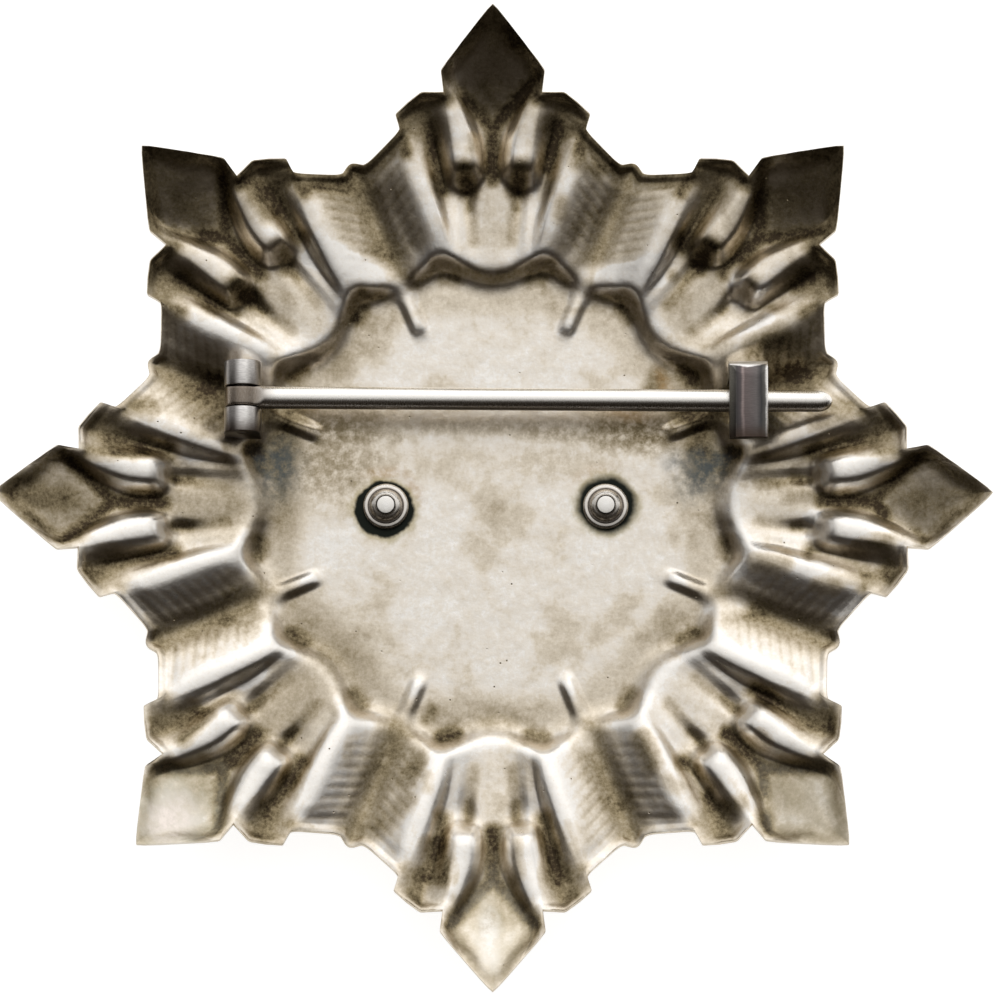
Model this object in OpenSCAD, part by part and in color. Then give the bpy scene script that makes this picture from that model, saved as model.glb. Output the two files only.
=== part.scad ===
// Stamped eight-armed breast star lying face down, its hollow back and brooch fittings upward.
// Millimetres. X runs along the brooch pin, Y across it, Z up from the surface that the star lies on.

/* [Star] */
// Circle through the eight arm tips, across
star_d = 81.8; // [70:0.1:90]
// Thickness of the stamped sheet
sheet_t = 1.0; // [0.8:0.1:1.4]
// Depth of the relief, as a share of the modelled depth
relief = 1.0; // [0.8:0.05:1.05]
// Height of the eight short ribs on the plate
rib_h = 0.45; // [0.2:0.05:0.6]

/* [Front medallion] */
// Diameter of the round medallion on the front
medallion_d = 32; // [28:0.5:34]
// Distance between the two fixing posts
post_gap = 18.1; // [16:0.1:20]
// Diameter of a fixing post
post_d = 1.48; // [1.2:0.02:1.7]

/* [Brooch pin] */
// Length of the pin from the axle to its point
pin_len = 48.4; // [46:0.1:50]
// Diameter of the pin's shaft
pin_d = 1.84; // [1.4:0.02:2]
// Height of the pin's axis above the plate
pin_rise = 4.3; // [4.1:0.1:5]
// How far the pin leans in plan, in degrees
pin_lean = 0.4; // [0:0.1:1]

/* [Hidden] */
$fn = 64;

silver = [0.79, 0.77, 0.72];
bright_silver = [0.86, 0.84, 0.81];

// Room between pieces that touch on the real object
gap = 0.04;

// The medallion hangs below the plate, and the flat face of its rim is the lowest face of all
disc_t = 1.0;
rim_w = 1.3;
rim_drop = 0.6;
field_dome = 0.45;
medallion_top = rim_drop + disc_t;
plate_z = medallion_top + gap + sheet_t;

// Fixing posts and the stepped collars over them
post_mid = [0.25, -0.14];
post_hole_d = post_d + 0.2;
flange_d = 3.74;
flange_h = 0.8;
boss_d = 2.82;
boss_top_d = 1.9;
collar_h = 1.5;
post_top = plate_z + gap + collar_h + 0.05;

// Hinge block, its slot and axle
hinge_x = -20.54;
hinge_y = 8.3;
block_w = 2.98;
block_l = 5.95;
slot_w = 1.81;
axle_d = 0.9;
pin_z = plate_z + pin_rise;

// Flat eye of the pin, its tapered neck, and the point where its shaft begins to narrow
eye_t = 1.64;
eye_r = 1.4;
neck_r = 1.2;
neck_end_r = 0.84;
shaft_from = 1.8;
taper_from = 39.2;
point_d = 1.74;

// Catch: a bar bent over the pin
hook_x = 20.9;
hook_y = 7.92;
hook_w = 3.2;
hook_l = 6.5;
hook_bar = 1.25;
hook_leg = 1.4;
hook_bend = 1.5;
hook_room = 0.1;
hook_under = pin_z + pin_d / 2 + hook_room;
hook_top = hook_under + hook_bar;

// Crease lines of half an arm, from its middle to the middle of the valley beside it.
// Each runs from the foot of the wall round the plate out to the edge.
// Columns: distance aside, distance along the arm, height above the plate.
middle = [
    [0, 18.2, 0], [0, 19.45, 1.15], [0, 22.9, 1.35], [0, 25.5, 1.5], [0, 27.5, 1.65],
    [0, 29.9, 1.95], [0, 32.3, 2.35], [0, 35.2, 3.7], [0, 38.1, 5.45], [0, 40.9, 7.2]
];
groove = [
    [1.2, 18.35, 0], [1.1, 19.6, 1.2], [1.3, 22.95, 1.3], [1.2, 25.5, 1.55], [0.4, 27.5, 1.7],
    [0.5, 30, 2.05], [1.5, 32.4, 2.4], [2.6, 34.4, 3.3], [3, 36.1, 4.4], [2.35, 38.08, 5.95]
];
inner_ridge_a = [
    [2.1, 18.75, 0], [1.8, 19.95, 1.3], [2.1, 23.1, 1.2], [2.1, 26, 0.95], [1.75, 27.6, 3.3],
    [1.95, 29.8, 3.6], [2.55, 31.9, 3.8], [3.3, 33.5, 4.1], [3.9, 34.65, 4.5], [4.37, 35.65, 4.9]
];
inner_ridge_b = [
    [2.9, 19.1, 0], [2.5, 20.2, 1.5], [2.85, 23.3, 1.6], [2.95, 26.1, 1.5], [3.1, 27.6, 3.35],
    [3.3, 29.9, 3.65], [3.55, 32, 3.9], [3.75, 32.9, 4.1], [3.87, 33.4, 4.2], [3.95, 33.8, 4.3]
];
side_ray = [
    [3.6, 19.4, 0], [3.1, 20.45, 1.75], [3.5, 23.7, 1.4], [4.1, 26.2, 1.5], [4.4, 27.7, 1.75],
    [4.95, 29.8, 2.05], [5.45, 31.8, 2.6], [5.65, 32.7, 3.05], [5.77, 33.4, 3.55], [5.9, 34.05, 4.1]
];
outer_ridge_a = [
    [4.2, 19.6, 0], [3.9, 20.75, 2], [4.3, 23.3, 2.5], [5.25, 26, 2.85], [5.8, 27.3, 2.95],
    [6.7, 29.4, 3.1], [7.35, 30.9, 3.3], [7.65, 31.4, 3.4], [7.9, 31.8, 3.5], [8.17, 32.25, 3.6]
];
outer_ridge_b = [
    [4.85, 19.3, 0], [4.6, 20.8, 2], [5.2, 22.9, 2.5], [6.3, 25.7, 2.85], [6.8, 26.9, 2.95],
    [7.3, 28.9, 3.1], [7.45, 29.9, 3.25], [7.5, 30.3, 3.3], [7.53, 30.65, 3.35], [7.56, 31, 3.4]
];
panel = [
    [5.7, 18.6, 0], [5.75, 19.9, 1.4], [7, 22, 1.5], [8.05, 24.5, 1.75], [8.5, 25.8, 1.9],
    [8.95, 27.6, 2.2], [9.05, 28.4, 2.35], [9.07, 28.85, 2.4], [9.09, 29.2, 2.5], [9.1, 29.55, 2.65]
];
valley_side = [
    [6.5, 18.05, 0], [6.95, 19.05, 0.95], [8, 21.5, 1], [8.95, 23.8, 1.1], [9.45, 25, 1.2],
    [10.1, 26.6, 1.45], [10.4, 27.35, 1.65], [10.48, 27.6, 1.75], [10.57, 27.85, 1.8], [10.66, 28.1, 1.9]
];
valley_edge = [
    [6.85, 17.75, 0.3], [7.3, 18.8, 0.82], [8.36, 21.35, 0.8], [9.35, 23.7, 0.85], [9.85, 24.9, 0.95],
    [10.5, 26.45, 1.25], [10.95, 27.5, 1.5], [11.08, 27.85, 1.6], [11.2, 28.15, 1.65], [11.3, 28.5, 1.7]
];
valley = [
    [7.25, 17.5, 0.45], [7.7, 18.59, 0.75], [8.8, 21.25, 0.72], [9.8, 23.66, 0.75], [10.3, 24.87, 0.9],
    [10.95, 26.44, 1.15], [11.45, 27.64, 1.4], [11.58, 27.96, 1.5], [11.7, 28.25, 1.55], [11.82, 28.53, 1.6]
];
crease_lines = [
    middle, groove, inner_ridge_a, inner_ridge_b, side_ray,
    outer_ridge_a, outer_ridge_b, panel, valley_side, valley_edge, valley
];
last_line = len(crease_lines) - 1;
last_row = len(middle) - 1;

// The tables are drawn for a star of this size
drawn_d = 81.8;
k = star_d / drawn_d;

arms = 8;
arm_turn = 360 / arms;
half_turn = arm_turn / 2;

// Rows to each station of a crease line on the hollow side; the front has one
fine = 2;

// Flat middle of the plate, and the short ribs that run onto it from the wall
flat_r = 14;
rib_end_r = 15.7;
rib_half_w = 0.65;
plate_rows = [0.3, 0.38, 0.65];

// The valley floor under a fitting: its height above the plate in mid sheet, and its rise to each side
foot_z = 0.25;
valley_slope = 0.42;

// A smooth curve through b and c, given the points before and after them
function spline(a, b, c, d, t) =
    b + 0.5 * t * ((c - a) + t * ((2 * a - 5 * b + 4 * c - d) + t * (3 * b - a - 3 * c + d)));

// The point on a crease line at a row: straight up the wall, then smooth to the edge
function row_at(line, i) = line[max(1, min(last_row, i))];
function on_line(line, s) =
    let (i = min(last_row - 1, floor(s)), t = s - i)
    i == 0
        ? line[0] * (1 - t) + line[1] * t
        : spline(row_at(line, i - 1), line[i], line[i + 1], row_at(line, i + 2), t);

// A whole arm from valley to valley is the half arm and its mirror image
arm_columns = 2 * last_line;
function on_arm(c, s) =
    let (p = on_line(crease_lines[abs(c - last_line)], s))
    [c < last_line ? -p[0] : p[0], p[1], p[2]];

function turned(p, a) = [p[0] * cos(a) + p[1] * sin(a), p[1] * cos(a) - p[0] * sin(a), p[2]];
function placed(p, drop) = [p[0] * k, p[1] * k, plate_z + p[2] * relief - drop];

// One closed row round the star
function star_row(s, drop) = [
    for (arm = [0 : arms - 1], c = [0 : arm_columns - 1])
        placed(turned(on_arm(c, s), arm * arm_turn), drop)
];

// One closed row on the plate, at a share of the way from its flat middle to the wall
function rib_height(r, aside) =
    r < rib_end_r || aside > rib_half_w ? 0 : rib_h * sqrt(1 - pow(aside / rib_half_w, 2));
function plate_row(share, drop) = [
    for (arm = [0 : arms - 1], c = [0 : arm_columns - 1])
        let (
            foot = on_arm(c, 0),
            bearing = atan2(foot[0], foot[1]),
            r = flat_r + (norm([foot[0], foot[1]]) - flat_r) * share,
            h = share == 0 ? 0 : rib_height(r, r * abs(sin(abs(bearing) - half_turn)))
        )
        placed(turned([r * sin(bearing), r * cos(bearing), h], arm * arm_turn), drop)
];

// Closes a stack of equal closed rows into a solid, with one flat face at each end
module skin(rows) {
    n = len(rows[0]);
    m = len(rows);
    polyhedron(
        points = [for (r = rows, p = r) p],
        faces = concat(
            [[for (i = [0 : n - 1]) i]],
            [[for (i = [n - 1 : -1 : 0]) (m - 1) * n + i]],
            [
                for (j = [0 : m - 2], i = [0 : n - 1], half = [0, 1])
                    let (a = j * n + i, b = j * n + (i + 1) % n, c = a + n, d = b + n)
                    half == 0 ? [a, c, b] : [b, c, d]
            ]
        ),
        convexity = 10
    );
}

module at_posts() {
    for (side = [-1, 1])
        translate([post_mid[0] + side * post_gap / 2, post_mid[1], 0])
            children();
}

module sheet() {
    plate = [for (share = concat([0], plate_rows)) plate_row(share, 0)];
    back = [for (s = [0 : 1 / fine : last_row]) star_row(s, 0)];
    front = [for (s = [last_row : -1 : 0]) star_row(s, sheet_t)];
    difference() {
        skin(concat(plate, back, front, [plate_row(0, sheet_t)]));
        at_posts()
            translate([0, 0, plate_z - 2 * sheet_t])
                cylinder(d = post_hole_d, h = 3 * sheet_t);
    }
}

// Everything under the middle of the sheet along the valley beneath a fitting
module under_valley(side) {
    reach = 7;
    deep = 9;
    rotate(side > 0 ? half_turn : 180 - half_turn)
        translate([abs(hinge_x) - reach, 0, plate_z + foot_z])
            rotate([90, 0, 90])
                linear_extrude(height = 2 * reach)
                    polygon([
                        [-reach, reach * valley_slope], [0, 0], [reach, reach * valley_slope],
                        [reach, -deep], [-reach, -deep]
                    ]);
}

module hinge_block() {
    difference() {
        translate([hinge_x, hinge_y, 0]) {
            translate([0, block_l / 2, pin_z])
                rotate([90, 0, 0])
                    cylinder(d = block_w, h = block_l);
            translate([-block_w / 2, -block_l / 2, plate_z - sheet_t])
                cube([block_w, block_l, pin_rise + sheet_t]);
        }
        translate([hinge_x - block_w, hinge_y - slot_w / 2, pin_z - eye_r - 3 * gap])
            cube([2 * block_w, slot_w, 2 * block_w]);
        translate([hinge_x, hinge_y + block_l, pin_z])
            rotate([90, 0, 0])
                cylinder(d = axle_d + 2 * gap, h = 2 * block_l);
        under_valley(-1);
    }
}

// Side view of the catch: closed toward +Y, open toward -Y
module hook_side() {
    end = hook_l / 2;
    low = plate_z - sheet_t;
    inner = hook_bend - hook_leg / 2;
    difference() {
        union() {
            translate([-end, low])
                square([hook_l - hook_bend, hook_top - low]);
            translate([end - hook_bend - 0.1, low])
                square([hook_bend + 0.1, hook_top - hook_bend - low]);
            translate([end - hook_bend, hook_top - hook_bend])
                circle(r = hook_bend);
        }
        translate([-end - 1, low - 1])
            square([hook_l - hook_leg + 1 - inner, hook_under - low + 1]);
        translate([0, low - 1])
            square([end - hook_leg, hook_under - inner - low + 1]);
        translate([end - hook_leg - inner, hook_under - inner])
            circle(r = inner);
    }
}

// End view of the catch: a flat top with one wide and one narrow bevel
module hook_face() {
    wide = 0.55;
    narrow = 0.35;
    low = plate_z - 2 * sheet_t;
    polygon([
        [-hook_w / 2, low], [hook_w / 2, low],
        [hook_w / 2, hook_top - narrow], [hook_w / 2 - narrow, hook_top],
        [wide - hook_w / 2, hook_top], [-hook_w / 2, hook_top - wide]
    ]);
}

module catch_hook() {
    difference() {
        translate([hook_x, hook_y, 0])
            intersection() {
                translate([-hook_w / 2, 0, 0])
                    rotate([90, 0, 90])
                        linear_extrude(height = hook_w)
                            hook_side();
                translate([0, hook_l, 0])
                    rotate([90, 0, 0])
                        linear_extrude(height = 2 * hook_l)
                            hook_face();
            }
        under_valley(1);
    }
}

module star() {
    color(silver)
        union() {
            sheet();
            hinge_block();
            catch_hook();
        }
}

module hinge_axle() {
    color(bright_silver)
        translate([hinge_x, hinge_y + block_l / 2, pin_z])
            rotate([90, 0, 0])
                cylinder(d = axle_d, h = block_l);
}

module brooch_pin() {
    color(bright_silver)
        translate([hinge_x, hinge_y, pin_z])
            rotate([0, 0, -pin_lean])
                difference() {
                    union() {
                        translate([0, eye_t / 2, 0])
                            rotate([90, 0, 0])
                                cylinder(r = eye_r, h = eye_t);
                        intersection() {
                            rotate([0, 90, 0])
                                cylinder(r1 = neck_r, r2 = neck_end_r, h = shaft_from + gap);
                            translate([0, -eye_t / 2, -eye_r])
                                cube([shaft_from + 2 * gap, eye_t, 2 * eye_r]);
                        }
                        translate([shaft_from, 0, 0])
                            rotate([0, 90, 0])
                                cylinder(d = pin_d, h = taper_from - shaft_from);
                        translate([taper_from, 0, 0])
                            rotate([0, 90, 0])
                                cylinder(d1 = pin_d, d2 = point_d, h = pin_len - point_d / 2 - taper_from);
                        translate([pin_len - point_d / 2, 0, 0])
                            sphere(d = point_d);
                    }
                    translate([0, eye_t, 0])
                        rotate([90, 0, 0])
                            cylinder(d = axle_d + 2 * gap, h = 2 * eye_t);
                }
}

// The front is plain: a flat raised rim round a low domed field
module front_medallion() {
    field_r = medallion_d / 2 - rim_w;
    steps = 12;
    color(silver)
        union() {
            rotate_extrude()
                polygon(concat(
                    [[0, medallion_top], [medallion_d / 2, medallion_top], [medallion_d / 2, 0], [field_r, 0]],
                    [for (i = [steps : -1 : 0])
                        [field_r * i / steps, rim_drop - field_dome * (1 - pow(i / steps, 2))]]
                ));
            at_posts()
                translate([0, 0, rim_drop])
                    cylinder(d = post_d, h = post_top - rim_drop);
        }
}

module collar(side) {
    bore_r = post_d / 2 + gap;
    bevel = 0.15;
    color(bright_silver)
        translate([post_mid[0] + side * post_gap / 2, post_mid[1], plate_z + gap])
            rotate_extrude()
                polygon([
                    [bore_r, 0], [flange_d / 2, 0], [flange_d / 2, flange_h - bevel],
                    [flange_d / 2 - bevel, flange_h], [boss_d / 2, flange_h],
                    [boss_d / 2 - bevel / 2, flange_h + bevel], [boss_top_d / 2, collar_h], [bore_r, collar_h]
                ]);
}

module collar_left() {
    collar(-1);
}

module collar_right() {
    collar(1);
}

star();
hinge_axle();
brooch_pin();
front_medallion();
collar_left();
collar_right();
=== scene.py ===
"""A stamped silver breast star lying face down, seen from its hollow back with the brooch pin shut."""

import math

import bmesh
import bpy
import numpy as np
from mathutils import Matrix, Vector


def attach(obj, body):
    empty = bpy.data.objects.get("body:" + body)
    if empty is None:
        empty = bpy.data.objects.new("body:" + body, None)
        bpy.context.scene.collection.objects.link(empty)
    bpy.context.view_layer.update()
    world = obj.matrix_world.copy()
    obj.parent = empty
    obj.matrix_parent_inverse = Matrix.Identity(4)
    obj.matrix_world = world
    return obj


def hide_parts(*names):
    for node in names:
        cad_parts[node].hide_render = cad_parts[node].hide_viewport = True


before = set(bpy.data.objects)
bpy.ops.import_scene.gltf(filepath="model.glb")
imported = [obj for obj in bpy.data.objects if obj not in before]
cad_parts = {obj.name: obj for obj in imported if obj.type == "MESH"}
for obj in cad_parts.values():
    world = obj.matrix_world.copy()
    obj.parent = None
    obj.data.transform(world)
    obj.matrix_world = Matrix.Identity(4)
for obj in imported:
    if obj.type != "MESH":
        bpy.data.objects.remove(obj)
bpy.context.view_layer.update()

# Millimetres to metres. Shapes below are in millimetres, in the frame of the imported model.
MM = 0.001
STAR_BODY = "star_body"
PIN_BODY = "pin_body"

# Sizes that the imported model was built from
SHEET_T = 1.0
PLATE_Z = 2.64
FLAT_R = 14.0
RIB_H = 0.45
RIB_END_R = 15.7
RIB_HALF_W = 0.65
GAP = 0.04

MEDALLION_R = 16.0
MEDALLION_TOP = 1.6
RIM_W = 1.3
RIM_DROP = 0.6
FIELD_DOME = 0.45
POST_X = (-8.8, 9.3)
POST_Y = -0.14
POST_R = 0.74

# The collars above the plate: the flange, the step that the boss stands on, and the boss's dome up to its rim
FLANGE_R = 1.87
FLANGE_H = 0.52
STEP_Z = 0.82
DOME_FROM_R = 0.62
DOME_R = 0.75
DOME_H = 0.66
COLLAR_H = 1.49

HINGE = Vector((-20.54, 8.3, 6.94))
BLOCK_W = 2.98
BLOCK_L = 5.95
SLOT_W = 1.81
AXLE_R = 0.45
EYE_T = 1.64
EYE_R = 1.4
PIN_R = 0.92
POINT_R = 0.87
PIN_LEN = 48.4
TAPER_FROM = 39.2
NOSE = 1.28
NOSE_FROM = PIN_LEN - NOSE
PIN_LEAN = math.radians(0.4)

# The pin between its flat eye and its round shaft. How far the eye's round outline goes, where the width, the
# height and the squareness change, half the neck's height and what it loses, and squareness, 2 where round.
EYE_END = 0.95
WIDENS = (1.0, 1.75)
NARROWS = (0.9, 2.4)
ROUNDS = (0.9, 1.9)
NECK_H = 1.03
NECK_LOSS = 0.11
EYE_SQUARENESS = 9
SHAFT_SQUARENESS = 2

HOOK_X = 20.9
HOOK_Y = 7.92
HOOK_W = 3.2
HOOK_L = 6.5
HOOK_TOP = 9.21
HOOK_BAR = 1.25
HOOK_LEG = 1.4
HOOK_BEND = 1.5

# Worn upper edges of the hook, right and left. Columns: distance in from the side, depth below the top.
HOOK_RIGHT = ((0, 0.3), (0.12, 0.12), (0.62, 0))
HOOK_LEFT = ((1.15, 0), (0.55, 0.08), (0.06, 0.5))

# The valley of the sheet under the hook and the hinge block: its middle above the plate, and its slope
FOOT_Z = 0.25
VALLEY_SLOPE = 0.42

# Crease lines of half an arm, from its middle to the middle of the valley beside it, at ten stations from the
# wall's foot to the edge. Columns: distance aside, distance along the arm, height above the plate.
MIDDLE = [
    (0, 18.2, 0), (0, 19.45, 1.15), (0, 22.9, 1.35), (0, 25.5, 1.5), (0, 27.5, 1.65),
    (0, 29.9, 1.95), (0, 32.3, 2.35), (0, 35.2, 3.7), (0, 38.1, 5.45), (0, 40.9, 7.2),
]
GROOVE = [
    (1.2, 18.35, 0), (1.1, 19.6, 1.2), (1.3, 22.95, 1.3), (1.2, 25.5, 1.55), (0.4, 27.5, 1.7),
    (0.5, 30, 2.05), (1.5, 32.4, 2.4), (2.6, 34.4, 3.3), (3, 36.1, 4.4), (2.35, 38.08, 5.95),
]
INNER_RIDGE_A = [
    (2.1, 18.75, 0), (1.8, 19.95, 1.3), (2.1, 23.1, 1.2), (2.1, 26, 0.95), (1.75, 27.6, 3.3),
    (1.95, 29.8, 3.6), (2.55, 31.9, 3.8), (3.3, 33.5, 4.1), (3.9, 34.65, 4.5), (4.37, 35.65, 4.9),
]
INNER_RIDGE_B = [
    (2.9, 19.1, 0), (2.5, 20.2, 1.5), (2.85, 23.3, 1.6), (2.95, 26.1, 1.5), (3.1, 27.6, 3.35),
    (3.3, 29.9, 3.65), (3.55, 32, 3.9), (3.75, 32.9, 4.1), (3.87, 33.4, 4.2), (3.95, 33.8, 4.3),
]
SIDE_RAY = [
    (3.6, 19.4, 0), (3.1, 20.45, 1.75), (3.5, 23.7, 1.4), (4.1, 26.2, 1.5), (4.4, 27.7, 1.75),
    (4.95, 29.8, 2.05), (5.45, 31.8, 2.6), (5.65, 32.7, 3.05), (5.77, 33.4, 3.55), (5.9, 34.05, 4.1),
]
OUTER_RIDGE_A = [
    (4.2, 19.6, 0), (3.9, 20.75, 2), (4.3, 23.3, 2.5), (5.25, 26, 2.85), (5.8, 27.3, 2.95),
    (6.7, 29.4, 3.1), (7.35, 30.9, 3.3), (7.65, 31.4, 3.4), (7.9, 31.8, 3.5), (8.17, 32.25, 3.6),
]
OUTER_RIDGE_B = [
    (4.85, 19.3, 0), (4.6, 20.8, 2), (5.2, 22.9, 2.5), (6.3, 25.7, 2.85), (6.8, 26.9, 2.95),
    (7.3, 28.9, 3.1), (7.45, 29.9, 3.25), (7.5, 30.3, 3.3), (7.53, 30.65, 3.35), (7.56, 31, 3.4),
]
PANEL = [
    (5.7, 18.6, 0), (5.75, 19.9, 1.4), (7, 22, 1.5), (8.05, 24.5, 1.75), (8.5, 25.8, 1.9),
    (8.95, 27.6, 2.2), (9.05, 28.4, 2.35), (9.07, 28.85, 2.4), (9.09, 29.2, 2.5), (9.1, 29.55, 2.65),
]
VALLEY_SIDE = [
    (6.5, 18.05, 0), (6.95, 19.05, 0.95), (8, 21.5, 1), (8.95, 23.8, 1.1), (9.45, 25, 1.2),
    (10.1, 26.6, 1.45), (10.4, 27.35, 1.65), (10.48, 27.6, 1.75), (10.57, 27.85, 1.8), (10.66, 28.1, 1.9),
]
VALLEY_EDGE = [
    (6.85, 17.75, 0.3), (7.3, 18.8, 0.82), (8.36, 21.35, 0.8), (9.35, 23.7, 0.85), (9.85, 24.9, 0.95),
    (10.5, 26.45, 1.25), (10.95, 27.5, 1.5), (11.08, 27.85, 1.6), (11.2, 28.15, 1.65), (11.3, 28.5, 1.7),
]
VALLEY = [
    (7.25, 17.5, 0.45), (7.7, 18.59, 0.75), (8.8, 21.25, 0.72), (9.8, 23.66, 0.75), (10.3, 24.87, 0.9),
    (10.95, 26.44, 1.15), (11.45, 27.64, 1.4), (11.58, 27.96, 1.5), (11.7, 28.25, 1.55), (11.82, 28.53, 1.6),
]
CREASES = np.array([
    MIDDLE, GROOVE, INNER_RIDGE_A, INNER_RIDGE_B, SIDE_RAY,
    OUTER_RIDGE_A, OUTER_RIDGE_B, PANEL, VALLEY_SIDE, VALLEY_EDGE, VALLEY,
])
ARMS = 8
ARM_TURN = 2 * math.pi / ARMS

# Mesh columns between one crease line and the next, which of them crowd toward the creases, mesh rows between
# one station and the next, rows from the flat middle to the wall, rings in the flat middle, and rows in front
COLUMN_STEPS = (6, 5, 4, 4, 4, 5, 9, 9, 4, 4)
CROWDED = (0, 1, 2, 3, 4, 5)
ROW_STEPS = (9, 12, 12, 10, 10, 8, 5, 4, 4)
PLATE_SHARES = (0, 0.14, 0.25, 0.31, 0.37, 0.43, 0.52, 0.63, 0.75, 0.86, 0.94)
PLATE_RADII = (12, 9, 5, 2)
FRONT_ROWS = 18

# How heights are softened, at the ribs, at the creases and to find the ridges. Columns: radius, reach in rows
# and columns of the mesh, stride. Then half the length over which a rib begins, and the corners' rounding.
RIB_SOFTENING = (0.22, 3, 1)
CREASE_SOFTENING = (0.36, 6, 1)
WIDE_SOFTENING = (1.1, 12, 3)
RIB_END_SOFT = 0.5
CORNER_RADIUS = 0.42
CORNER_ROWS = 8
CORNER_REACH = 6
EDGE_BEVEL = 0.1

# Fine reeding pressed into the panels, its ribs parallel to the panel's outer edge. It starts, is full, fades
# and ends at these crease lines across the arm, and at these stations along it.
REED_NORMAL = (0.759, 0.651)
REED_PITCH = 0.82
REED_DEPTH = 0.022
REEDS_ACROSS = (6.15, 6.45, 7.75, 8.0)
REEDS_ALONG = (1.5, 1.9, 5.4, 6.2)

# A shallow gutter inside the raised rim of the sheet, which starts, is full, fades and ends this far inside
GUTTER_DEPTH = 0.14
GUTTER_BAND = (0.25, 0.75, 0.9, 2.2)

# Tarnished patina on half an arm, drawn as soft strokes, and painted shade on the plate at the foot of the
# wall.
# Columns: start aside, start along the arm, end aside, end along the arm, half width, amount.
ARM_TARNISH_AND_SHADE = (
    (0, 27.2, 0, 31.4, 1.4, 0.95),
    (0, 31.2, 3.7, 35.2, 1.3, 0.95),
    (3.5, 35.4, 1.1, 39.4, 1.4, 0.62),
    (0, 33, 0, 34.6, 2.4, 0.5),
    (0, 36, 0, 38, 1.8, 0.24),
    (0, 39.3, 0, 41, 1.2, 0.6),
    (4.2, 26.2, 5.3, 31.5, 1.35, 0.88),
    (5.3, 31, 6.4, 33, 2.3, 0.8),
    (7.2, 30.6, 8, 32.2, 1.2, 0.5),
    (1.95, 26.1, 1.9, 24.7, 0.85, 0.7),
    (1.9, 25.5, 1.5, 22, 1, 0.42),
    (0, 27, 0, 22, 2.2, 0.14),
    (3, 19, 4.2, 19.2, 1.2, 0.74),
    # Painted shade on the plate along the foot of the wall.
    (0, 17.4, 6.6, 17.4, 2.6, 0.27),
    (7.9, 19.1, 12, 29, 2.7, 0.66),
)

# The same, only on the arms on the far side, toward +Y, where it is mostly painted shade on faces turned from
# the light.
FAR_SHADE_AND_TARNISH = (
    (2, 26.2, 2.3, 27.4, 1.7, 0.95),
    (0, 35, 0, 39.5, 4.6, 0.5),
    (7.2, 29.2, 7.8, 31.6, 1.2, 0.85),
    (0, 18.8, 3.2, 19.7, 0.9, 0.66),
    (3.2, 19.8, 4.8, 20, 0.9, 0.6),
    (4.8, 19.6, 7.1, 17.9, 0.75, 0.66),
    (6.9, 22, 9, 27, 2.4, 0.34),
)

# Stains in single places, and painted shadows and shade under the ends of the hinge block and the hook and
# inside far edges. Columns: start x, start y, end x, end y, half width, amount.
STAINS_AND_SHADOWS = (
    (-37.6, 0.2, -36, 0, 3.6, 0.66),
    (37.6, 0.2, 35.5, 0, 3.6, 0.45),
    (-18, 0, -24.5, 0, 5.5, 0.36),
    (-17.6, 3.5, -16.2, 7.5, 3.2, 0.6),
    (17.6, 3.5, 16.4, 7.5, 3, 0.6),
    (-12.6, -12.6, -18, -18, 6, 0.34),
    (13.2, 9.8, 13.8, 11.2, 1.4, 0.4),
    (-21, 4, -24, 9, 4.5, 0.55),
    (22.5, 5.5, 24, 11, 5, 0.6),
    (20, 20, 29, 29, 9, 0.24),
    (-20, 20, -29, 29, 9, 0.18),
    (-22.9, -17.8, -25.1, -19.9, 1.1, 0.8),
    (-28.8, 3.7, -33.2, 3.9, 1.2, 0.7),
    (-3.7, -28.8, -3.8, -31.5, 0.9, 0.7),
    (-17.9, 22.9, -20, 25.1, 1.1, 0.6),
    # Painted shadow under the lower end of the hinge block.
    (-21.8, 4.6, -19.4, 4.5, 1.5, 0.95),
    # Painted shadow under the lower end of the hook.
    (19.7, 4.2, 22.2, 4.2, 1.4, 0.9),
    (26.5, 6.6, 31, 8.4, 2.2, 0.6),
    (21.2, 12.8, 23.5, 13.8, 1.8, 0.7),
    (19.5, -25.2, 20.4, -24.8, 1.4, 0.55),
    (12.2, -19.4, 13.2, -21.8, 1.5, 0.7),
    (14, -22.8, 15, -23.6, 1.2, 0.4),
    (21.8, -19.4, 22.4, -20, 1.3, 0.8),
    (21.4, -4.8, 24, -5.1, 1.4, 0.75),
    (26.5, -6.9, 28, -7.1, 1, 0.5),
    (24.6, 0.6, 26.4, 0.6, 1.3, 0.4),
    (32, 3.9, 33.6, 4, 1.3, 0.6),
    (-7.2, -23.2, -5.8, -21, 1.5, 0.5),
    (-5.3, -17.7, -5, -17, 1, 0.5),
    (-9, -26.8, -7, -24.6, 1.5, 0.45),
    (2, -28.2, 2, -31, 1.2, 0.75),
    (-3.4, -28.4, -3.2, -31, 1.1, 0.6),
    (-29.4, 0.4, -28, 0.6, 1.5, 0.7),
    (-29.6, 8, -28, 7.6, 1.4, 0.45),
    (5.6, 24.9, 5.6, 23.8, 1.1, 0.5),
    (7, 28.2, 8.6, 27.8, 1.2, 0.55),
    (-20.6, 26.4, -19, 25.6, 1.3, 0.75),
    (14.4, 19.2, 15, 19, 1, 0.5),
    (-1.6, 29.3, -1.6, 30.2, 0.9, 0.5),
    (17.4, 9.6, 19, 12.6, 2.7, 0.5),
    # Painted shade inside the far edge.
    (-14.6, 26.2, -12.4, 26.4, 1.4, 0.6),
    (-5.2, -22.8, -5.2, -23.8, 1.2, 0.5),
    (-17.9, 12, -17.9, 11, 1.4, 0.5),
    (30, -3.4, 32.4, -3.6, 1.1, 0.5),
    (18.2, -23.2, 20, -23.4, 1.3, 0.45),
    (-36.2, -1.8, -35, -1.8, 1.2, 0.4),
)
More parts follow.
